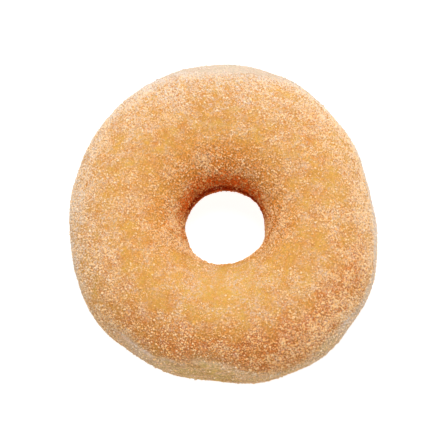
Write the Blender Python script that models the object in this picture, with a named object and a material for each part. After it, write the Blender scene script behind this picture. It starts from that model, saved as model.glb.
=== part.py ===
"""A sugared ring doughnut, one solid, at its real size in metres with +Z up.

It lies as it is served: browned domes above and below, a pale waist band between them
that sticks out a little, and a hole with rounded walls. The origin is on the surface it
rests on, under the middle of its footprint.
"""

import math
from collections import namedtuple

import bmesh
import bpy
from mathutils import Vector, noise

MM = 0.001

# Driving sizes
WIDTH = 90.0 * MM  # along X, over the waist
LENGTH = 95.0 * MM  # along Y, over the waist
HEIGHT = 32.0 * MM
HOLE_WIDTH = 23.0 * MM  # along X, at the throat
HOLE_LENGTH = 22.6 * MM  # along Y, at the throat
HOLE_OFFSET = Vector((0.5 * MM, -1.8 * MM, 0.0))  # from the middle of the ring

# The ring's section: the level of its widest point, how square its domes are, and how far
# the lower dome would reach below the table if it hadn't been pressed flat there
WAIST_LEVEL = 0.47 * HEIGHT
UPPER_SQUARENESS = 2.10
LOWER_SQUARENESS = 2.30
PRESSED_FLAT = 0.9 * MM

# The pale waist band: how far it bulges past the domes, over what height, and how deep the
# creases are where the browned crust ends above and below it
BAND_BULGE = 1.0 * MM
BAND_BULGE_HEIGHT = 6.0 * MM
BAND_TOP = 3.0 * MM  # above the waist level
BAND_BOTTOM = -5.5 * MM
CREASE_DEPTH = 0.45 * MM
CREASE_WIDTH = 1.5 * MM

# Unevenness of risen dough: wide swells and smaller lumps
SWELL_DEPTH, SWELL_SIZE = 0.55 * MM, 17.0 * MM
LUMP_DEPTH, LUMP_SIZE = 0.22 * MM, 6.5 * MM
NOISE_OFFSET = Vector((3.7, 1.9, 8.2))

STEPS_ROUND_RING = 88
STEPS_ROUND_SECTION = 50
WAIST_FINENESS = 0.40  # 0 spaces the section's points evenly, nearer 1 crowds them at the waist

# A Lobe adds its height in one compass direction, in degrees from +X, and fades with its spread
Lobe = namedtuple("Lobe", "direction height spread")

OUTLINE_LOBES = (
    Lobe(15, -1.4 * MM, 14),
    Lobe(45, -0.8 * MM, 16),
    Lobe(62, 0.4 * MM, 7),
    Lobe(104, 0.7 * MM, 14),
    Lobe(135, 0.8 * MM, 26),
    Lobe(216, 0.7 * MM, 18),
    Lobe(264, -0.5 * MM, 10),
    Lobe(284, 0.9 * MM, 9),
    Lobe(306, 2.7 * MM, 15),
    Lobe(333, 2.1 * MM, 14),
)
HOLE_LOBES = (
    Lobe(30, 0.2 * MM, 20),
    Lobe(130, 0.2 * MM, 25),
    Lobe(204, -0.7 * MM, 12),
    Lobe(252, 0.4 * MM, 18),
    Lobe(327, 0.5 * MM, 16),
)
BAND_TOP_LOBES = (
    Lobe(88, 8.0 * MM, 24),
    Lobe(170, -2.5 * MM, 40),
    Lobe(232, 3.4 * MM, 14),
    Lobe(264, 6.8 * MM, 20),
    Lobe(289, -1.2 * MM, 7),
    Lobe(310, 3.2 * MM, 9),
    Lobe(345, 1.0 * MM, 20),
)
HEIGHT_LOBES = (
    Lobe(100, -0.6 * MM, 60),
    Lobe(215, 0.3 * MM, 40),
    Lobe(330, -0.5 * MM, 35),
)

CRUST_COLOUR = (0.80, 0.45, 0.16, 1.0)


def fade(distance, spread):
    """1 at no distance, falling smoothly to nothing past about twice the spread."""
    return math.exp(-((distance / spread) ** 2))


def lobes_at(lobes, direction):
    """The sum of the lobes in one direction, in radians from +X."""
    total = 0.0
    for lobe in lobes:
        away = math.degrees(direction) - lobe.direction
        away = (away + 180.0) % 360.0 - 180.0
        total += lobe.height * fade(away, lobe.spread)
    return total


def oval_radius(direction, across_x, across_y):
    """Distance from the middle of an oval to its edge."""
    half_x, half_y = across_x / 2, across_y / 2
    return half_x * half_y / math.hypot(half_y * math.cos(direction), half_x * math.sin(direction))


def signed_power(value, power):
    return math.copysign(abs(value) ** power, value)


def outward(direction):
    """The level unit vector that points away from the ring's axis."""
    return Vector((math.cos(direction), math.sin(direction), 0.0))


def crease(level, at_level):
    """Depth of one crease at a height on the ring's outer side."""
    return CREASE_DEPTH * fade(level - at_level, CREASE_WIDTH)


def section_point(direction, turn):
    """A point of the ring's section, as its distance from the ring's axis and its height.

    turn runs round the section in radians: 0 at the outer waist, a quarter turn at the crown.
    """
    outer = oval_radius(direction, WIDTH, LENGTH) + lobes_at(OUTLINE_LOBES, direction)
    inner = oval_radius(direction, HOLE_WIDTH, HOLE_LENGTH) + lobes_at(HOLE_LOBES, direction)
    inner += HOLE_OFFSET.dot(outward(direction))
    crown = HEIGHT + lobes_at(HEIGHT_LOBES, direction)

    above = math.sin(turn) >= 0
    squareness = UPPER_SQUARENESS if above else LOWER_SQUARENESS
    rise = crown - WAIST_LEVEL if above else WAIST_LEVEL + PRESSED_FLAT
    level = rise * signed_power(math.sin(turn), 2 / squareness)
    reach = signed_power(math.cos(turn), 2 / squareness)

    dome_edge = outer - BAND_BULGE
    middle = (dome_edge + inner) / 2
    distance = middle + reach * (dome_edge - inner) / 2
    if reach > 0:
        distance += BAND_BULGE * fade(level, BAND_BULGE_HEIGHT)
        band_top = BAND_TOP + lobes_at(BAND_TOP_LOBES, direction)
        distance -= crease(level, band_top) + crease(level, BAND_BOTTOM)
    return distance, WAIST_LEVEL + level


def uneven(point, from_middle):
    """The point moved along from_middle by the swells and lumps of risen dough."""
    swell = SWELL_DEPTH * noise.noise(point / SWELL_SIZE + NOISE_OFFSET)
    lump = LUMP_DEPTH * noise.noise(point / LUMP_SIZE - NOISE_OFFSET)
    return point + from_middle.normalized() * (swell + lump)


def surface_point(direction, turn):
    """A point of the doughnut's skin, no lower than the table."""
    distance, level = section_point(direction, turn)
    point = outward(direction) * distance + Vector((0.0, 0.0, level))
    middle = outward(direction) * (WIDTH + HOLE_WIDTH) / 4 + Vector((0.0, 0.0, WAIST_LEVEL))
    point = uneven(point, point - middle)
    point.z = max(point.z, 0.0)
    return point


def section_turns():
    """The turns at which the section has points, closest together at the outer waist."""
    for step in range(STEPS_ROUND_SECTION):
        even = 2 * math.pi * step / STEPS_ROUND_SECTION
        yield even - WAIST_FINENESS * math.sin(even)


def ring_skin():
    """The whole skin as one closed mesh of quads, section after section round the ring."""
    skin = bmesh.new()
    sections = []
    for step in range(STEPS_ROUND_RING):
        direction = 2 * math.pi * step / STEPS_ROUND_RING
        sections.append([skin.verts.new(surface_point(direction, turn)) for turn in section_turns()])
    for near, far in zip(sections, sections[1:] + sections[:1]):
        for corner in range(STEPS_ROUND_SECTION):
            following = (corner + 1) % STEPS_ROUND_SECTION
            skin.faces.new((near[corner], far[corner], far[following], near[following]))
    bmesh.ops.recalc_face_normals(skin, faces=skin.faces)
    return skin


def centre_footprint(skin):
    """Moves the skin so that the middle of its outline is over the origin."""
    xs = [vert.co.x for vert in skin.verts]
    ys = [vert.co.y for vert in skin.verts]
    middle = Vector(((min(xs) + max(xs)) / 2, (min(ys) + max(ys)) / 2, 0.0))
    bmesh.ops.translate(skin, verts=skin.verts, vec=-middle)


def crust_material():
    material = bpy.data.materials.new("sugared_crust")
    material.use_nodes = True
    shader = material.node_tree.nodes["Principled BSDF"]
    shader.inputs["Base Color"].default_value = CRUST_COLOUR
    shader.inputs["Roughness"].default_value = 0.7
    shader.inputs["Metallic"].default_value = 0.0
    return material


def make_doughnut():
    skin = ring_skin()
    centre_footprint(skin)
    mesh = bpy.data.meshes.new("doughnut")
    skin.to_mesh(mesh)
    skin.free()
    mesh.materials.append(crust_material())
    mesh.shade_smooth()
    doughnut = bpy.data.objects.new("doughnut", mesh)
    bpy.context.scene.collection.objects.link(doughnut)
    return doughnut


def main():
    for old in list(bpy.data.objects):
        bpy.data.objects.remove(old)
    make_doughnut()


main()
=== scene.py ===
"""Looks of a sugared ring doughnut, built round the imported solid.

The crust is a fine grid cast onto the solid, sunk by the depth of the sugar, roughened and
coloured. Sugar crystals of four sizes are scattered over it as real geometry, and reach out
to the solid's skin.
"""

import math
from collections import namedtuple

import bpy
import numpy as np
from mathutils import Matrix, Vector, noise
from mathutils.bvhtree import BVHTree

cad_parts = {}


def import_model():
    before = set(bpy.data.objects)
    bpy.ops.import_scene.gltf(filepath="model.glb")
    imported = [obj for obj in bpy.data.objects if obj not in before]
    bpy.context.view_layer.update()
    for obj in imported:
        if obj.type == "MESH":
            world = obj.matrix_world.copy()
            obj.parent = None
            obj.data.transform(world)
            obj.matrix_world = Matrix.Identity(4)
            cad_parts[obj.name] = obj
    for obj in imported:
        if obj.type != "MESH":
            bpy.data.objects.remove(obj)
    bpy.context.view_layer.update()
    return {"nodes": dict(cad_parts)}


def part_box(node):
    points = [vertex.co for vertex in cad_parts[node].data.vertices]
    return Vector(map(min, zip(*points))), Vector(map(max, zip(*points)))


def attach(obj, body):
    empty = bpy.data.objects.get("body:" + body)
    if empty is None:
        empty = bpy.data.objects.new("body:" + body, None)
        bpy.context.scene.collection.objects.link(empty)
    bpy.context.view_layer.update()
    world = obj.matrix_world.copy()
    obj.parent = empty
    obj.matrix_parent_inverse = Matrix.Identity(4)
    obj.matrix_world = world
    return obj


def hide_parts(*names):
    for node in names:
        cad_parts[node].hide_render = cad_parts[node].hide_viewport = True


MM = 0.001
SEED = 20

# The camera looks down on the ring, leaning over from its south and a little from its east
FRAME_PIXELS = 447
LEAN_SOUTH = math.radians(14.0)
LEAN_EAST = math.radians(3.0)
CAMERA_DISTANCE = 0.55
PIXELS_PER_METRE = 3441.6  # at the height of the ring's middle
AIM = Vector((0.26 * MM, -0.94 * MM, 16.0 * MM))
SENSOR = 36.0
NEAREST_SEEN = 0.01
FARTHEST_SEEN = 20.0

# The studio: one soft round light over the ring, a white sky and a pale floor that glows a little
KEY_PLACE = Vector((0.08, 0.34, 1.00))
KEY_SIZE = 0.5
KEY_POWER = 9.9
HORIZON_HEIGHT, HORIZON_LIGHT = 0.05, 1.0
OVERHEAD_HEIGHT, OVERHEAD_LIGHT = 0.40, 0.45
FLOOR_REACH = 6.0
FLOOR_LEVEL = -0.02 * MM
FLOOR_GREY = (0.35, 0.35, 0.35, 1.0)
FLOOR_ROUGHNESS = 0.9
FLOOR_GLOW = 0.90
WHITE = (1.0, 1.0, 1.0, 1.0)

# The fine grid of the crust
RING_STEPS = 352
SECTION_STEPS = 200
WAIST_FINENESS = 0.35  # 0 spaces the section's points evenly, nearer 1 crowds them at the waist
SMOOTHING_STEPS = 2.2
PAST_THE_RING = 0.1  # farther from the axis than the ring's outer side
SUGAR_COAT = 0.16 * MM  # how far the crust lies under the solid's skin
LOWEST_CRUST = 0.8 * SUGAR_COAT  # above the table, where the sugar under the crust rests

# A Lobe adds its height in one compass direction, in degrees from +X, and fades with its spread
Lobe = namedtuple("Lobe", "direction height spread")

# Where the pale waist band lies, in levels from the waist, as in the solid
WAIST_SHARE = 0.47  # of the height
BAND_TOP = 3.0 * MM
BAND_BOTTOM = -5.5 * MM
BAND_TOP_LOBES = (
    Lobe(88, 8.0 * MM, 24),
    Lobe(170, -2.5 * MM, 40),
    Lobe(232, 3.4 * MM, 14),
    Lobe(264, 6.8 * MM, 20),
    Lobe(289, -1.2 * MM, 7),
    Lobe(310, 3.2 * MM, 9),
    Lobe(345, 1.0 * MM, 20),
)

# The band's soft border, the paler skirt of crust above it, and the grey ridge under its top
BORDER_WIDTH = 0.8 * MM
SOFT_BORDER_LOBES = (Lobe(260, 0.7 * MM, 26), Lobe(296, 1.3 * MM, 18))
SKIRT_PALENESS = 0.40
SKIRT_ABOVE = 4.0 * MM
SKIRT_BELOW = 0.5 * MM
RIDGE_DROP = 1.0 * MM
RIDGE_WIDTH = 0.9 * MM
RIDGE_EVENNESS = 0.7
RIDGE_EVERYWHERE = 0.15
# Painted light: the strong lobe at 235 lays the ridge's lighter colour over the band's steep
# south-west side, which lies in shade
RIDGE_LOBES = (Lobe(235, 0.90, 15), Lobe(269, 0.25, 10))

# Where crust and sugar run down over the band, where it has most sugar, where it has only
# powder, and where it is greyest
COVERED_BAND_LOBES = (Lobe(209, 1.2, 19),)
BARE_BAND = 0.85  # the share of its sugar that the band lacks elsewhere
SUGARED_BAND_LOBES = (
    Lobe(5, 0.4, 40),
    Lobe(160, 0.4, 40),
    Lobe(228, 0.4, 16),
    Lobe(292, 0.7, 16),
)
BAND_POWDER = 0.8
SMOOTH_BAND_LOBES = (Lobe(88, 1.0, 34),)
GREY_BAND_LOBES = (Lobe(5, 1.1, 50), Lobe(120, 0.8, 30), Lobe(232, 0.6, 16))

# Where the crust is fried darkest and stays lightest, and where the sugar lies thickest, which on
# the rim is also painted sheen
BROWN_LOBES = (Lobe(273, 0.80, 42), Lobe(322, 0.44, 28))
GOLD_LOBES = (Lobe(275, 0.50, 34), Lobe(0, 0.10, 40), Lobe(92, 0.20, 30))
FROST_AND_SHEEN_LOBES = (
    Lobe(130, 0.6, 75),
    Lobe(90, 1.3, 38),
    Lobe(2, 0.5, 46),
    Lobe(184, 0.6, 28),
    Lobe(314, 0.3, 14),
)
FROST_ON_SLOPE = 0.6
# On the rim the frost is partly painted sheen: the sugar is made whiter there, as a grazing sheen
# would
FROST_AND_SHEEN_ON_RIM = 0.8
PLAIN_BROWN = 0.38  # from 0, golden, to 1, fried brown
BROWN_UNDER = 0.30
BROWN_PATCHES = 0.25

# The hole: its reddest lip, with painted shade and warm bounce light in its colour; its deep orange
# throat, whose colour is painted shade, strongest on the north wall that faces away from the light;
# and the throat's narrowest edge, painted as dark shade
# The lip's redder colour is crust and painted shade lit by warm bounce light, on every side but the
# lit south
LIP_LOBES = (Lobe(90, 1.0, 75), Lobe(190, 0.6, 30), Lobe(350, 0.8, 30))
THROAT_LOBES = (Lobe(90, 1.9, 94),)
THROAT_EDGE_LOBES = (Lobe(97, 1.7, 85),)
LEAST_THROAT = 0.1
LEAST_EDGE = 0.2

# A Zone of the section begins at one share of the way out, in or down, and is full at another
Zone = namedtuple("Zone", "begins full")
OUTER_SIDE = Zone(0.0, 0.35)
OUTER_SLOPE = Zone(0.10, 0.75)
FROSTED_SLOPE = Zone(-0.25, 0.65)
RIM = Zone(0.60, 0.95)
INNER_SLOPE = Zone(-0.35, 0.55)
LIP = Zone(0.20, 0.85)
# The throat and its narrowest edge are the zones where shade is painted into the crust's colour
THROAT = Zone(0.82, 0.96)
THROAT_EDGE = Zone(0.984, 0.9995)
UNDERSIDE = Zone(0.45, 0.85)

# A Layer of noise has a height, features of one size, and an offset that sets it off from others
Layer = namedtuple("Layer", "height size offset")
RAGGED_BORDER = (Layer(1.1 * MM, 5.0 * MM, 4.1), Layer(0.7 * MM, 1.8 * MM, 9.3))
RIDGE_GAPS = (Layer(1.5, 2.4 * MM, 3.3),)
PATCHES = (Layer(0.6, 9.0 * MM, 2.2), Layer(0.9, 3.6 * MM, 7.7))
CLUMPS = (Layer(1.0, 1.7 * MM, 2.9),)
CRUST_RELIEF = (Layer(0.10 * MM, 2.6 * MM, 1.3), Layer(0.06 * MM, 1.3 * MM, 6.1))

# The pale band's fine pleats: they wander up and down, and come and go
PLEAT_DEPTH = 0.10 * MM
PLEAT_SIZE = 0.28 * MM
PLEAT_WANDER = (Layer(4.0, 6.0 * MM, 5.5),)
PLEAT_PLACES = (Layer(1.0, 5.0 * MM, 8.4),)
PLEATED = Zone(-0.3, 0.5)

# A Smear is a patch of thicker sugar on the crown, at a direction and a turn round the section
Smear = namedtuple("Smear", "direction turn length width")
SMEARS = (
    Smear(332, 84, 2.2 * MM, 0.5 * MM),
    Smear(327, 70, 3.5 * MM, 0.7 * MM),
    Smear(320, 52, 2.6 * MM, 0.6 * MM),
)


def lobes_at(lobes, directions):
    """The sum of the lobes in each direction, in radians from +X."""
    total = np.zeros_like(directions)
    for lobe in lobes:
        away = (np.degrees(directions) - lobe.direction + 180.0) % 360.0 - 180.0
        total += lobe.height * np.exp(-((away / lobe.spread) ** 2))
    return total


def smoothstep(low, high, values):
    t = np.clip((values - low) / (high - low), 0.0, 1.0)
    return t * t * (3.0 - 2.0 * t)


def noise_at(points, size, offset):
    """Smooth noise from about -1 to 1 at each point, with features of the given size."""
    shift = Vector((offset, offset * 1.7, -offset))
    flat = points.reshape(-1, 3) / size
    values = [noise.noise(Vector(p) + shift) for p in flat]
    return np.array(values).reshape(points.shape[:-1])


def unevenness(points, layers):
    """The sum of the layers of noise at each point."""
    return sum(layer.height * noise_at(points, layer.size, layer.offset) for layer in layers)


def normalized(vectors):
    return vectors / np.linalg.norm(vectors, axis=-1, keepdims=True)


def mesh_object(name, corners, faces):
    """An object of the given corners and faces, both arrays, every face with as many corners."""
    mesh = bpy.data.meshes.new(name)
    count, sides = faces.shape
    mesh.vertices.add(len(corners))
    mesh.vertices.foreach_set("co", corners.astype(np.float32).ravel())
    mesh.loops.add(count * sides)
    mesh.loops.foreach_set("vertex_index", faces.astype(np.int32).ravel())
    mesh.polygons.add(count)
    mesh.polygons.foreach_set("loop_start", np.arange(0, count * sides, sides, dtype=np.int32))
    mesh.update(calc_edges=True)
    made = bpy.data.objects.new(name, mesh)
    bpy.context.scene.collection.objects.link(made)
    return made


# The crust's shape

def section_middles(tree, directions, level):
    """The middle of the ring's section in each direction, from where its walls are."""
    middles = []
    for direction in directions:
        outward = Vector((math.cos(direction), math.sin(direction), 0.0))
        axis_point = Vector((0.0, 0.0, level))
        inner = tree.ray_cast(axis_point, outward)[0]
        outer = tree.ray_cast(axis_point + outward * PAST_THE_RING, -outward)[0]
        middles.append((inner + outer) / 2)
    return middles


def cast_grid(node, directions, turns, waist):
    """Points of the node's skin, indexed by direction round the ring and turn round its section."""
    tree = BVHTree.FromPolygons(
        [v.co for v in node.data.vertices], [p.vertices for p in node.data.polygons]
    )
    points = np.empty((len(directions), len(turns), 3))
    for i, middle in enumerate(section_middles(tree, directions, waist)):
        outward = Vector((math.cos(directions[i]), math.sin(directions[i]), 0.0))
        for j, turn in enumerate(turns):
            ray = outward * math.cos(turn) + Vector((0.0, 0.0, math.sin(turn)))
            points[i, j] = tree.ray_cast(middle, ray)[0]
    return points


def blurred(grid, spread):
    """The grid smoothed round both of its loops, which takes off the solid's facets."""
    reach = int(3 * spread)
    shares = np.exp(-0.5 * (np.arange(-reach, reach + 1) / spread) ** 2)
    shares /= shares.sum()
    for axis in (0, 1):
        grid = sum(w * np.roll(grid, k - reach, axis=axis) for k, w in enumerate(shares))
    return grid


def grid_normals(points):
    along = np.roll(points, -1, axis=0) - np.roll(points, 1, axis=0)
    across = np.roll(points, -1, axis=1) - np.roll(points, 1, axis=1)
    return normalized(np.cross(along, across))


def crust_rise(points, level, pale):
    """How far the crust stands out from the solid's skin at each point."""
    pleats = np.sin(level / PLEAT_SIZE + unevenness(points, PLEAT_WANDER))
    relief = unevenness(points, CRUST_RELIEF)
    depth = PLEAT_DEPTH * smoothstep(*PLEATED, unevenness(points, PLEAT_PLACES))
    return relief + depth * pleats * pale - SUGAR_COAT


def make_crust_shape(node):
    """The crust's points and normals, and its maps."""
    directions = np.linspace(0.0, 2 * math.pi, RING_STEPS, endpoint=False)
    even = np.linspace(0.0, 2 * math.pi, SECTION_STEPS, endpoint=False)
    turns = even - WAIST_FINENESS * np.sin(even)
    waist = WAIST_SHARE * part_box(node.name)[1].z
    points = blurred(cast_grid(node, directions, turns, waist), SMOOTHING_STEPS)
    level = points[..., 2] - waist
    maps = crust_maps(points, directions, turns, level)
    points = points + grid_normals(points) * crust_rise(points, level, maps["pale"])[..., None]
    points[..., 2] = np.maximum(points[..., 2], LOWEST_CRUST)
    return points, grid_normals(points), maps


# The maps that the crust's colours and its sugar follow, as arrays over the grid

CRUST_ATTRIBUTES = (
    "pale", "ridge", "grey", "lip", "throat_shade", "throat_edge_shade", "brown", "powder", "frost_and_sheen", "smear", "patches"
)

# How much each map adds to the sugar's warmth, which picks its tint, from 0 for the whitest. On the
# throat and its edge the grains take darker, warmer tints as painted shade; where the frost lies
# they take whiter ones, partly as painted sheen on the rim
PLAIN_WARMTH = 2.9
WARMTH_WEIGHTS = (
    ("browned", 0.9),
    ("gold", 0.6),
    ("lip", 0.2),
    ("throat_shade", 2.0),
    ("throat_edge_shade", 1.0),
    ("frosted_and_sheen", -1.9),
    ("pale", -0.2),
    ("grey", -1.0),
    ("patches", -0.6),
    ("ridge", -1.2),
)
FROST_LOST_ON_BROWN = 0.6

# How much thicker each map makes the sugar, where -1 takes it all away
PATCH_THICKNESS = 1.1
THINNEST_PATCH, THICKEST_PATCH = 0.2, 4.0
CLUMPS_ON_CROWN = 0.35
CLUMPS_ON_LIP = 0.75
THICKNESS_WEIGHTS = (
    ("frost_and_sheen", 0.8),
    ("lip", 0.5),
    ("gold", -0.9),
    ("throat_shade", -0.4),
    ("throat_edge_shade", -0.6),
    ("bare_band", -1.0),
    ("powder", -1.0),
    ("under", -0.45),
    ("smear", 3.0),
)


def zone_map(zone, way, strength):
    """The zone over the whole grid.

    way is how far each turn points out, in or down, and strength how strong the zone is in
    each direction.
    """
    return smoothstep(*zone, way)[None, :] * strength[:, None]


def slope_maps(directions, turns):
    """The maps that follow the slopes of the section."""
    out, inward, down = np.cos(turns), -np.cos(turns), -np.sin(turns)
    # The throat and its edge carry painted shade, strongest where their lobes point, to the north
    throat_shade = np.clip(lobes_at(THROAT_LOBES, directions), LEAST_THROAT, 1.0)
    throat_edge_shade = np.clip(lobes_at(THROAT_EDGE_LOBES, directions), LEAST_EDGE, 1.0)
    # The frost map is thicker sugar, and on the rim also painted sheen
    frost_and_sheen = lobes_at(FROST_AND_SHEEN_LOBES, directions)
    slope_frost = FROST_ON_SLOPE * zone_map(FROSTED_SLOPE, out, frost_and_sheen)
    return {
        "fried": zone_map(OUTER_SLOPE, out, lobes_at(BROWN_LOBES, directions)),
        "gold": zone_map(INNER_SLOPE, inward, lobes_at(GOLD_LOBES, directions)),
        "under": zone_map(UNDERSIDE, down, np.ones_like(directions)),
        "lip": zone_map(LIP, inward, lobes_at(LIP_LOBES, directions)),
        "throat_shade": zone_map(THROAT, inward, throat_shade),
        "throat_edge_shade": zone_map(THROAT_EDGE, inward, throat_edge_shade),
        "frost_and_sheen": slope_frost + FROST_AND_SHEEN_ON_RIM * zone_map(RIM, out, frost_and_sheen),
    }


def band_maps(points, directions, turns, level):
    """The waist band that stayed pale and the grey ridge under its top.

    Its border is ragged, and the crust above it is a little paler than the rest.
    """
    ragged = unevenness(points, RAGGED_BORDER)
    top = BAND_TOP + lobes_at(BAND_TOP_LOBES, directions)[:, None] + ragged
    border = BORDER_WIDTH + lobes_at(SOFT_BORDER_LOBES, directions)[:, None]
    below_top = smoothstep(-1.0, 1.0, (top - level) / border)
    skirt = SKIRT_PALENESS * smoothstep(-SKIRT_ABOVE, SKIRT_BELOW, top - level)
    above_bottom = smoothstep(-1.0, 1.0, (level - BAND_BOTTOM - ragged) / border)
    open_band = 1.0 - np.clip(lobes_at(COVERED_BAND_LOBES, directions), 0.0, 1.0)
    shown = zone_map(OUTER_SIDE, np.cos(turns), open_band)
    pale = shown * np.maximum(below_top, skirt) * above_bottom
    ridge = below_top * np.exp(-(((top - level - RIDGE_DROP) / RIDGE_WIDTH) ** 2))
    ridge *= RIDGE_EVENNESS + unevenness(points, RIDGE_GAPS)
    ridge *= RIDGE_EVERYWHERE + lobes_at(RIDGE_LOBES, directions)[:, None]
    return pale, np.clip(ridge * open_band[:, None], 0.0, 1.0)


def smear_map(points, directions, turns):
    """1 on the smears, which lie along the turn of the section, fading to 0 round them."""
    total = np.zeros(points.shape[:2])
    for smear in SMEARS:
        i = np.abs(directions - math.radians(smear.direction)).argmin()
        j = np.abs(turns - math.radians(smear.turn)).argmin()
        away = points - points[i, j]
        along = normalized(points[i, j + 1] - points[i, j - 1])
        forward = away @ along
        sideways = np.linalg.norm(away - forward[..., None] * along, axis=-1)
        total += np.exp(-((forward / smear.length) ** 2) - (sideways / smear.width) ** 2)
    return np.clip(total, 0.0, 1.0)


def crust_maps(points, directions, turns, level):
    maps = slope_maps(directions, turns)
    maps["patches"] = unevenness(points, PATCHES)
    maps["smear"] = smear_map(points, directions, turns)
    pale, maps["ridge"] = band_maps(points, directions, turns, level)
    maps["pale"] = pale
    maps["grey"] = pale * lobes_at(GREY_BAND_LOBES, directions)[:, None]
    maps["powder"] = BAND_POWDER * pale * lobes_at(SMOOTH_BAND_LOBES, directions)[:, None]
    maps["bare_band"] = pale * (BARE_BAND - lobes_at(SUGARED_BAND_LOBES, directions)[:, None])

    brown = PLAIN_BROWN + maps["fried"] - maps["gold"]
    brown += BROWN_UNDER * maps["under"] + BROWN_PATCHES * maps["patches"]
    maps["brown"] = np.clip(brown, 0.0, 1.0)
    maps["browned"] = maps["brown"] * (1.0 - pale)
    maps["frosted_and_sheen"] = maps["frost_and_sheen"] * (1.0 - FROST_LOST_ON_BROWN * maps["brown"])
    maps["warmth"] = PLAIN_WARMTH + sum(weight * maps[name] for name, weight in WARMTH_WEIGHTS)
    maps["thickness"] = sugar_thickness(points, maps)
    return maps


def sugar_thickness(points, maps):
    """How thickly the sugar lies over the grid."""
    clumps = (CLUMPS_ON_CROWN + CLUMPS_ON_LIP * maps["lip"]) * unevenness(points, CLUMPS)
    patches = np.exp(PATCH_THICKNESS * maps["patches"] + clumps)
    thickness = np.clip(patches, THINNEST_PATCH, THICKEST_PATCH)
    for name, weight in THICKNESS_WEIGHTS:
        thickness = thickness * (1.0 + weight * maps[name])
    return thickness


def make_crust(points, maps):
    rings, turns = points.shape[:2]
    index = np.arange(rings * turns).reshape(rings, turns)
    beside = np.roll(index, -1, axis=0)
    quads = np.stack(
        [index, beside, np.roll(beside, -1, axis=1), np.roll(index, -1, axis=1)], axis=-1
    )
    crust = mesh_object("crust", points.reshape(-1, 3), quads.reshape(-1, 4))
    for name in CRUST_ATTRIBUTES:
        attribute = crust.data.attributes.new(name, "FLOAT", "POINT")
        attribute.data.foreach_set("value", maps[name].astype(np.float32).ravel())
    crust.data.shade_smooth()
    return crust


# The sugar

Crystal = namedtuple("Crystal", "corners triangles")
SugarKind = namedtuple("SugarKind", "name count size spread browned crystal")


def crystal(corners, faces):
    """A crystal of width about 1 round the origin, its faces cut into triangles that face out."""
    corners = np.array(corners, dtype=float)
    corners -= corners.mean(axis=0)
    triangles = []
    for face in faces:
        for second, third in zip(face[1:], face[2:]):
            a, b, c = corners[[face[0], second, third]]
            outward = np.cross(b - a, c - a) @ (a + b + c) > 0
            triangles.append((face[0], second, third) if outward else (face[0], third, second))
    return Crystal(corners, np.array(triangles))


BLOCK = crystal(
    [(x, y, z) for x in (0, 1) for y in (0, 1) for z in (0, 0.7)],
    [(0, 1, 3, 2), (4, 6, 7, 5), (0, 4, 5, 1), (2, 3, 7, 6), (0, 2, 6, 4), (1, 5, 7, 3)],
)
WEDGE = crystal(
    [(0, 0, 0), (1.1, 0, 0), (0.2, 1.0, 0), (0, 0, 0.6), (1.0, 0.1, 0.6), (0.2, 0.9, 0.6)],
    [(0, 1, 2), (3, 4, 5), (0, 1, 4, 3), (1, 2, 5, 4), (2, 0, 3, 5)],
)
SPLINTER = crystal(
    [(0, 0, 0), (1.3, 0.1, 0), (0.4, 1.3, 0), (0.5, 0.5, 0.8)],
    [(0, 1, 2), (0, 1, 3), (1, 2, 3), (2, 0, 3)],
)
SUGAR = (  # browned is how much more of the kind lies on brown crust than on golden
    SugarKind("sugar_coarse", 12000, 0.38 * MM, 0.16, 1.4, BLOCK),
    SugarKind("sugar_medium", 24000, 0.31 * MM, 0.15, 0.4, WEDGE),
    SugarKind("sugar_fine", 24000, 0.26 * MM, 0.15, 0.1, WEDGE),
    SugarKind("sugar_dust", 48000, 0.20 * MM, 0.18, 0.1, SPLINTER),
)
MORE_ON_BROWN = 2.0
MORE_ON_LIP = 0.5
GRAIN_TILT = 0.45  # 0 lays every grain flat on the crust
GRAIN_STRETCH = 0.25  # how far a grain's three widths differ, as a share of its size
GRAIN_CHIPS = 0.12  # how far its corners stray, as a share of its size
GRAIN_LIFT = 0.12  # how far its middle is over the crust, as a share of its size

SUGAR_TINTS = (  # from the whitest to the ones that let most of the crust's colour through
    ("sugar_frost", (0.82, 0.68, 0.56, 1.0)),
    ("sugar_clear", (0.94, 0.72, 0.49, 1.0)),
    ("sugar_cream", (0.95, 0.66, 0.37, 1.0)),
    ("sugar_peach", (0.95, 0.605, 0.28, 1.0)),
    ("sugar_honey", (0.90, 0.495, 0.175, 1.0)),
    ("sugar_amber", (0.77, 0.325, 0.080, 1.0)),
    # The darkest tint, russet, is mostly for grains in the throat's painted shade
    ("sugar_russet_shade", (0.58, 0.16, 0.025, 1.0)),
)
TINT_SPREAD = 1.3  # how many tints a grain strays, at most, from the sugar round it
SUGAR_ROUGHNESS = 0.45
SUGAR_SPECULAR = 0.12
SUGAR_IOR = 1.54


def scatter(points, normals, share, count, random):
    """Places spread at random over the grid, as thickly as share says.

    Gives the places, the normals there and the cells of the grid that they are in.
    """
    rings, turns = points.shape[:2]
    along = np.roll(points, -1, axis=0) - points
    across = np.roll(points, -1, axis=1) - points
    chance = np.linalg.norm(np.cross(along, across), axis=-1) * share
    picked = random.choice(rings * turns, size=count, p=(chance / chance.sum()).ravel())
    i, j = np.unravel_index(picked, (rings, turns))
    u, v = random.random((2, count, 1))
    i2, j2 = (i + 1) % rings, (j + 1) % turns

    def between(grid):
        near = grid[i, j] * (1 - u) + grid[i2, j] * u
        far = grid[i, j2] * (1 - u) + grid[i2, j2] * u
        return near * (1 - v) + far * v

    return between(points), normalized(between(normals)), (i, j)


def turned_axes(normals, random):
    """Three axes for each grain: it lies on one of its faces, more or less, and turned any way."""
    up = normalized(normals + GRAIN_TILT * random.standard_normal(normals.shape))
    side = normalized(np.cross(up, random.standard_normal(normals.shape)))
    return np.stack([side, np.cross(up, side), up], axis=1)


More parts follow.
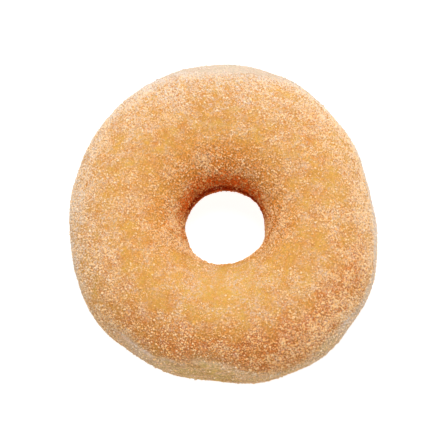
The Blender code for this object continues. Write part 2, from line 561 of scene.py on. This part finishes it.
def grain_corners(kind, places, normals, random):
    """The corners of every grain, indexed by grain and corner, none of them under the table."""
    axes = turned_axes(normals, random)
    size = kind.size * np.exp(kind.spread * random.standard_normal((kind.count, 1, 1)))
    shape = 1.0 + GRAIN_STRETCH * (random.random((kind.count, 1, 3)) - 0.5)
    chips = GRAIN_CHIPS * (random.random((kind.count, len(kind.crystal.corners), 3)) - 0.5)
    corners = (kind.crystal.corners + chips) * size * shape
    middles = places + GRAIN_LIFT * size[:, 0] * normals
    placed = np.einsum("ncx,nxk->nck", corners, axes) + middles[:, None, :]
    placed[..., 2] -= np.minimum(placed[..., 2].min(axis=1), 0.0)[:, None]
    return placed


def make_sugar(kind, points, normals, maps, random):
    browned = MORE_ON_BROWN * maps["brown"] + MORE_ON_LIP * maps["lip"]
    share = maps["thickness"] * (1.0 + kind.browned * browned)
    places, outward, cells = scatter(points, normals, share, kind.count, random)
    corners = grain_corners(kind, places, outward, random)
    first = np.arange(kind.count)[:, None, None] * len(kind.crystal.corners)
    triangles = (kind.crystal.triangles[None] + first).reshape(-1, 3)
    sugar = mesh_object(kind.name, corners.reshape(-1, 3), triangles)
    strayed = maps["warmth"][cells] + TINT_SPREAD * random.uniform(-1.0, 1.0, kind.count)
    tints = np.clip(strayed, 0, len(SUGAR_TINTS) - 1).astype(np.int32)
    sugar.data.polygons.foreach_set(
        "material_index", np.repeat(tints, len(kind.crystal.triangles))
    )
    return sugar


# Materials

# A Pattern is noise with features of one size, so many times lower than wide as its flatness
# says. It goes from to_low to to_high as the noise goes from low to high.
Pattern = namedtuple(
    "Pattern",
    "size detail roughness low high to_low to_high offset flatness",
    defaults=(0.0, 1.0, 0.0, 1.0),
)
MOTTLE = Pattern(4.0 * MM, 4.0, 0.7, 0.32, 0.68, to_low=-0.26, to_high=0.26)
WARM_PATCHES = Pattern(3.0 * MM, 3.0, 0.7, 0.38, 0.62, offset=0.5)
STREAKS = Pattern(4.0 * MM, 4.0, 0.7, 0.38, 0.62, offset=0.2, flatness=2.5)
# Painted shade along the pale band's creases
CREASE_SHADES = Pattern(4.5 * MM, 4.0, 0.7, 0.49, 0.62, offset=0.9, flatness=4.0)
SPECKS = Pattern(0.80 * MM, 3.0, 0.75, 0.42, 0.62, offset=0.3)
DUSTY_PATCHES = Pattern(3.0 * MM, 4.0, 0.75, 0.35, 0.65, to_low=0.05, to_high=0.70, offset=0.7)
# The pits are both a bump and painted shade: the crust's colour is darker in them and lighter
# between them
PITS = Pattern(0.55 * MM, 2.0, 0.6, 0.36, 0.64, to_low=-1.0, to_high=1.0, offset=0.4)

GOLDEN = (0.66, 0.370, 0.085, 1.0)
ORANGE = (0.65, 0.337, 0.080, 1.0)
FRIED_BROWN = (0.56, 0.190, 0.052, 1.0)
# Redder crust with painted shade lit by warm bounce light, on the hole's lip
LIP_ORANGE_AND_WARM_SHADE = (0.64, 0.230, 0.045, 1.0)
PALE_OLIVE = (0.60, 0.38, 0.12, 1.0)
PALE_PINK = (0.70, 0.43, 0.24, 1.0)
# Painted shade in the band's creases
BAND_CREASE_SHADE = (0.48, 0.25, 0.08, 1.0)
BAND_GREY = (0.66, 0.53, 0.42, 1.0)
GREY_RIDGE = (0.80, 0.59, 0.45, 1.0)
# Painted shade: the throat's orange darkened as shade, and the near black shade of its narrowest
# edge
THROAT_ORANGE_AND_SHADE = (0.70, 0.138, 0.020, 1.0)
THROAT_EDGE_SHADE = (0.28, 0.028, 0.004, 1.0)
FROST = (0.70, 0.52, 0.40, 1.0)
POWDER = (0.65, 0.52, 0.39, 1.0)

# How much each map adds to the finest sugar, which is only a colour of the crust
DUST_WEIGHTS = (
    ("patches", 0.6),
    # Frost here is thicker dust, and on the rim also painted sheen
    ("frost_and_sheen", 0.7),
    ("brown", -0.3),
    ("lip", -0.3),
    ("pale", -0.3),
    ("smear", 1.0),
)

# How dark the crust's pits are, as painted shade, with painted light between them, how much each
# map adds to that, and how deep they look
PLAIN_PIT_SHADE = 0.06
PIT_SHADE_WEIGHTS = (("brown", 0.22), ("lip", 0.30), ("pale", -0.05))
PIT_DEPTH = 0.12 * MM
PIT_STRENGTH = 0.5

BARE_ROUGHNESS = 0.72
SPECKED_ROUGHNESS = 0.50
CRUST_SPECULAR = 0.0
CRUST_SUBSURFACE = 0.12
SUBSURFACE_REACH = 1.0 * MM
SUBSURFACE_RADIUS = (1.0, 0.45, 0.2)


def new_material(name):
    material = bpy.data.materials.new(name)
    material.use_nodes = True
    return material, material.node_tree.nodes["Principled BSDF"]


def set_or_link(tree, value, socket):
    if isinstance(value, bpy.types.NodeSocket):
        tree.links.new(value, socket)
    else:
        socket.default_value = value


def colour_mix(tree, share, low, high):
    """Goes from the colour low to high as share goes from 0 to 1."""
    mix = tree.nodes.new("ShaderNodeMix")
    mix.data_type = "RGBA"
    mix.clamp_factor = True
    for value, socket in ((share, mix.inputs[0]), (low, mix.inputs[6]), (high, mix.inputs[7])):
        set_or_link(tree, value, socket)
    return mix.outputs[2]


def ranged(tree, value, low, high, to_low, to_high):
    """Goes smoothly from to_low to to_high as value goes from low to high."""
    node = tree.nodes.new("ShaderNodeMapRange")
    node.interpolation_type = "SMOOTHSTEP"
    for k, number in enumerate((low, high, to_low, to_high), start=1):
        node.inputs[k].default_value = number
    tree.links.new(value, node.inputs[0])
    return node.outputs[0]


def pattern_socket(tree, pattern):
    """The pattern over the object's own coordinates."""
    place = tree.nodes.new("ShaderNodeTexCoord")
    shift = tree.nodes.new("ShaderNodeVectorMath")
    shift.operation = "MULTIPLY_ADD"
    shift.inputs[1].default_value = (1.0, 1.0, pattern.flatness)
    shift.inputs[2].default_value = (pattern.offset, pattern.offset, pattern.offset)
    tree.links.new(place.outputs["Object"], shift.inputs[0])
    texture = tree.nodes.new("ShaderNodeTexNoise")
    texture.inputs["Scale"].default_value = 1.0 / pattern.size
    texture.inputs["Detail"].default_value = pattern.detail
    texture.inputs["Roughness"].default_value = pattern.roughness
    tree.links.new(shift.outputs[0], texture.inputs["Vector"])
    limits = (pattern.low, pattern.high, pattern.to_low, pattern.to_high)
    return ranged(tree, texture.outputs["Fac"], *limits)


def map_socket(tree, name):
    node = tree.nodes.new("ShaderNodeAttribute")
    node.attribute_name = name
    return node.outputs["Fac"]


def combined(tree, operation, *values):
    node = tree.nodes.new("ShaderNodeMath")
    node.operation = operation
    for value, socket in zip(values, node.inputs):
        set_or_link(tree, value, socket)
    return node.outputs[0]


def with_maps(tree, value, weights):
    """The value plus each of the crust's maps that weights names, times its weight."""
    for name, weight in weights:
        value = combined(tree, "MULTIPLY_ADD", map_socket(tree, name), weight, value)
    return value


def painted(tree, colour, coats):
    """The colour with each coat painted on, a second colour, where the coat's map is."""
    for name, coat in coats:
        colour = colour_mix(tree, map_socket(tree, name), colour, coat)
    return colour


def shaded(tree, colour, value):
    """The colour made as many times lighter as value says."""
    node = tree.nodes.new("ShaderNodeHueSaturation")
    set_or_link(tree, value, node.inputs["Value"])
    set_or_link(tree, colour, node.inputs["Color"])
    return node.outputs[0]


def band_colour(tree):
    """The pale waist band: streaks of two colours, creases darkened with painted shade, and grey
    stretches.
    """
    streaks = colour_mix(tree, pattern_socket(tree, STREAKS), PALE_OLIVE, PALE_PINK)
    crease_shaded = colour_mix(tree, pattern_socket(tree, CREASE_SHADES), streaks, BAND_CREASE_SHADE)
    return painted(tree, crease_shaded, (("grey", BAND_GREY), ("ridge", GREY_RIDGE)))


def crust_colour(tree):
    """The fried crust, with its band, and its lip and throat, which carry painted shade, under the
    sugar.
    """
    golden = colour_mix(tree, pattern_socket(tree, WARM_PATCHES), GOLDEN, ORANGE)
    brown = combined(tree, "ADD", map_socket(tree, "brown"), pattern_socket(tree, MOTTLE))
    coats = (
        ("pale", band_colour(tree)),
        # The lip's coat is redder crust with painted shade lit by warm bounce light
        ("lip", LIP_ORANGE_AND_WARM_SHADE),
        # The throat and its edge are painted shade
        ("throat_shade", THROAT_ORANGE_AND_SHADE),
        ("throat_edge_shade", THROAT_EDGE_SHADE),
    )
    return painted(tree, colour_mix(tree, brown, golden, FRIED_BROWN), coats)


def dusted(tree, colour, specks):
    """The colour under the finest sugar, which lies in specks, and under powder on the band."""
    thickness = with_maps(tree, pattern_socket(tree, DUSTY_PATCHES), DUST_WEIGHTS)
    outside_throat = combined(tree, "SUBTRACT", 1.0, map_socket(tree, "throat_shade"))
    dust = combined(tree, "MULTIPLY", combined(tree, "MULTIPLY", specks, thickness), outside_throat)
    return painted(tree, colour_mix(tree, dust, colour, FROST), (("powder", POWDER),))


def bumped(tree, height):
    """A normal for a surface as uneven as height says."""
    bump = tree.nodes.new("ShaderNodeBump")
    bump.inputs["Strength"].default_value = PIT_STRENGTH
    bump.inputs["Distance"].default_value = PIT_DEPTH
    tree.links.new(height, bump.inputs["Height"])
    return bump.outputs[0]


def crust_material():
    material, shader = new_material("sugared_crust")
    tree = material.node_tree
    specks = pattern_socket(tree, SPECKS)
    pits = pattern_socket(tree, PITS)
    # Painted shade and light: the pits darken the crust's colour, more on brown crust and the lip,
    # and lighten it between them
    pit_shade = with_maps(tree, PLAIN_PIT_SHADE, PIT_SHADE_WEIGHTS)
    value = combined(tree, "MULTIPLY_ADD", pits, pit_shade, 1.0)
    colour = shaded(tree, dusted(tree, crust_colour(tree), specks), value)
    roughness = ranged(tree, specks, 0.0, 1.0, BARE_ROUGHNESS, SPECKED_ROUGHNESS)
    tree.links.new(colour, shader.inputs["Base Color"])
    tree.links.new(roughness, shader.inputs["Roughness"])
    tree.links.new(bumped(tree, pits), shader.inputs["Normal"])
    shader.inputs["Specular IOR Level"].default_value = CRUST_SPECULAR
    shader.inputs["Subsurface Weight"].default_value = CRUST_SUBSURFACE
    shader.inputs["Subsurface Scale"].default_value = SUBSURFACE_REACH
    shader.inputs["Subsurface Radius"].default_value = SUBSURFACE_RADIUS
    return material


def sugar_materials():
    made = []
    for name, colour in SUGAR_TINTS:
        material, shader = new_material(name)
        shader.inputs["Base Color"].default_value = colour
        shader.inputs["Roughness"].default_value = SUGAR_ROUGHNESS
        shader.inputs["Specular IOR Level"].default_value = SUGAR_SPECULAR
        shader.inputs["IOR"].default_value = SUGAR_IOR
        made.append(material)
    return made


# The studio

def make_camera():
    back = Vector((math.tan(LEAN_EAST), -math.tan(LEAN_SOUTH), 1.0)).normalized()
    right = Vector((0.0, 1.0, 0.0)).cross(back).normalized()
    up = back.cross(right)
    data = bpy.data.cameras.new("camera")
    data.sensor_width = SENSOR
    data.lens = PIXELS_PER_METRE * CAMERA_DISTANCE * SENSOR / FRAME_PIXELS
    data.clip_start = NEAREST_SEEN
    data.clip_end = FARTHEST_SEEN
    camera = bpy.data.objects.new("camera", data)
    turn = Matrix((right, up, back)).transposed().to_4x4()
    camera.matrix_world = Matrix.Translation(AIM + back * CAMERA_DISTANCE) @ turn
    bpy.context.scene.collection.objects.link(camera)
    bpy.context.scene.camera = camera


def make_key_light():
    data = bpy.data.lights.new("key", "AREA")
    data.shape = "DISK"
    data.size = KEY_SIZE
    data.energy = KEY_POWER
    light = bpy.data.objects.new("key", data)
    light.location = KEY_PLACE
    light.rotation_euler = (AIM - KEY_PLACE).to_track_quat("-Z", "Y").to_euler()
    bpy.context.scene.collection.objects.link(light)


def make_floor():
    corners = [
        (x * FLOOR_REACH, y * FLOOR_REACH, FLOOR_LEVEL)
        for x, y in ((-1, -1), (1, -1), (1, 1), (-1, 1))
    ]
    floor = mesh_object("floor", np.array(corners), np.array([(0, 1, 2, 3)]))
    material, shader = new_material("floor")
    shader.inputs["Base Color"].default_value = FLOOR_GREY
    shader.inputs["Roughness"].default_value = FLOOR_ROUGHNESS
    shader.inputs["Emission Color"].default_value = WHITE
    shader.inputs["Emission Strength"].default_value = FLOOR_GLOW
    floor.data.materials.append(material)


def make_world():
    """A white studio, brightest at the horizon."""
    world = bpy.data.worlds.new("studio")
    world.use_nodes = True
    tree = world.node_tree
    place = tree.nodes.new("ShaderNodeTexCoord")
    split = tree.nodes.new("ShaderNodeSeparateXYZ")
    tree.links.new(place.outputs["Generated"], split.inputs[0])
    limits = (HORIZON_HEIGHT, OVERHEAD_HEIGHT, HORIZON_LIGHT, OVERHEAD_LIGHT)
    strength = ranged(tree, split.outputs["Z"], *limits)
    background = tree.nodes["Background"]
    background.inputs["Color"].default_value = WHITE
    tree.links.new(strength, background.inputs["Strength"])
    bpy.context.scene.world = world


def dress(node):
    """Replaces the node with the crust and lays the sugar on it."""
    points, normals, maps = make_crust_shape(node)
    crust = make_crust(points, maps)
    crust.data.materials.append(crust_material())
    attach(crust, "root")
    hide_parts("doughnut")

    random = np.random.default_rng(SEED)
    tints = sugar_materials()
    for kind in SUGAR:
        sugar = make_sugar(kind, points, normals, maps, random)
        for tint in tints:
            sugar.data.materials.append(tint)
        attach(sugar, "root")


def main():
    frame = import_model()
    dress(frame["nodes"]["doughnut"])
    make_floor()
    make_world()
    make_key_light()
    make_camera()
    bpy.context.scene.view_settings.view_transform = "Standard"


main()
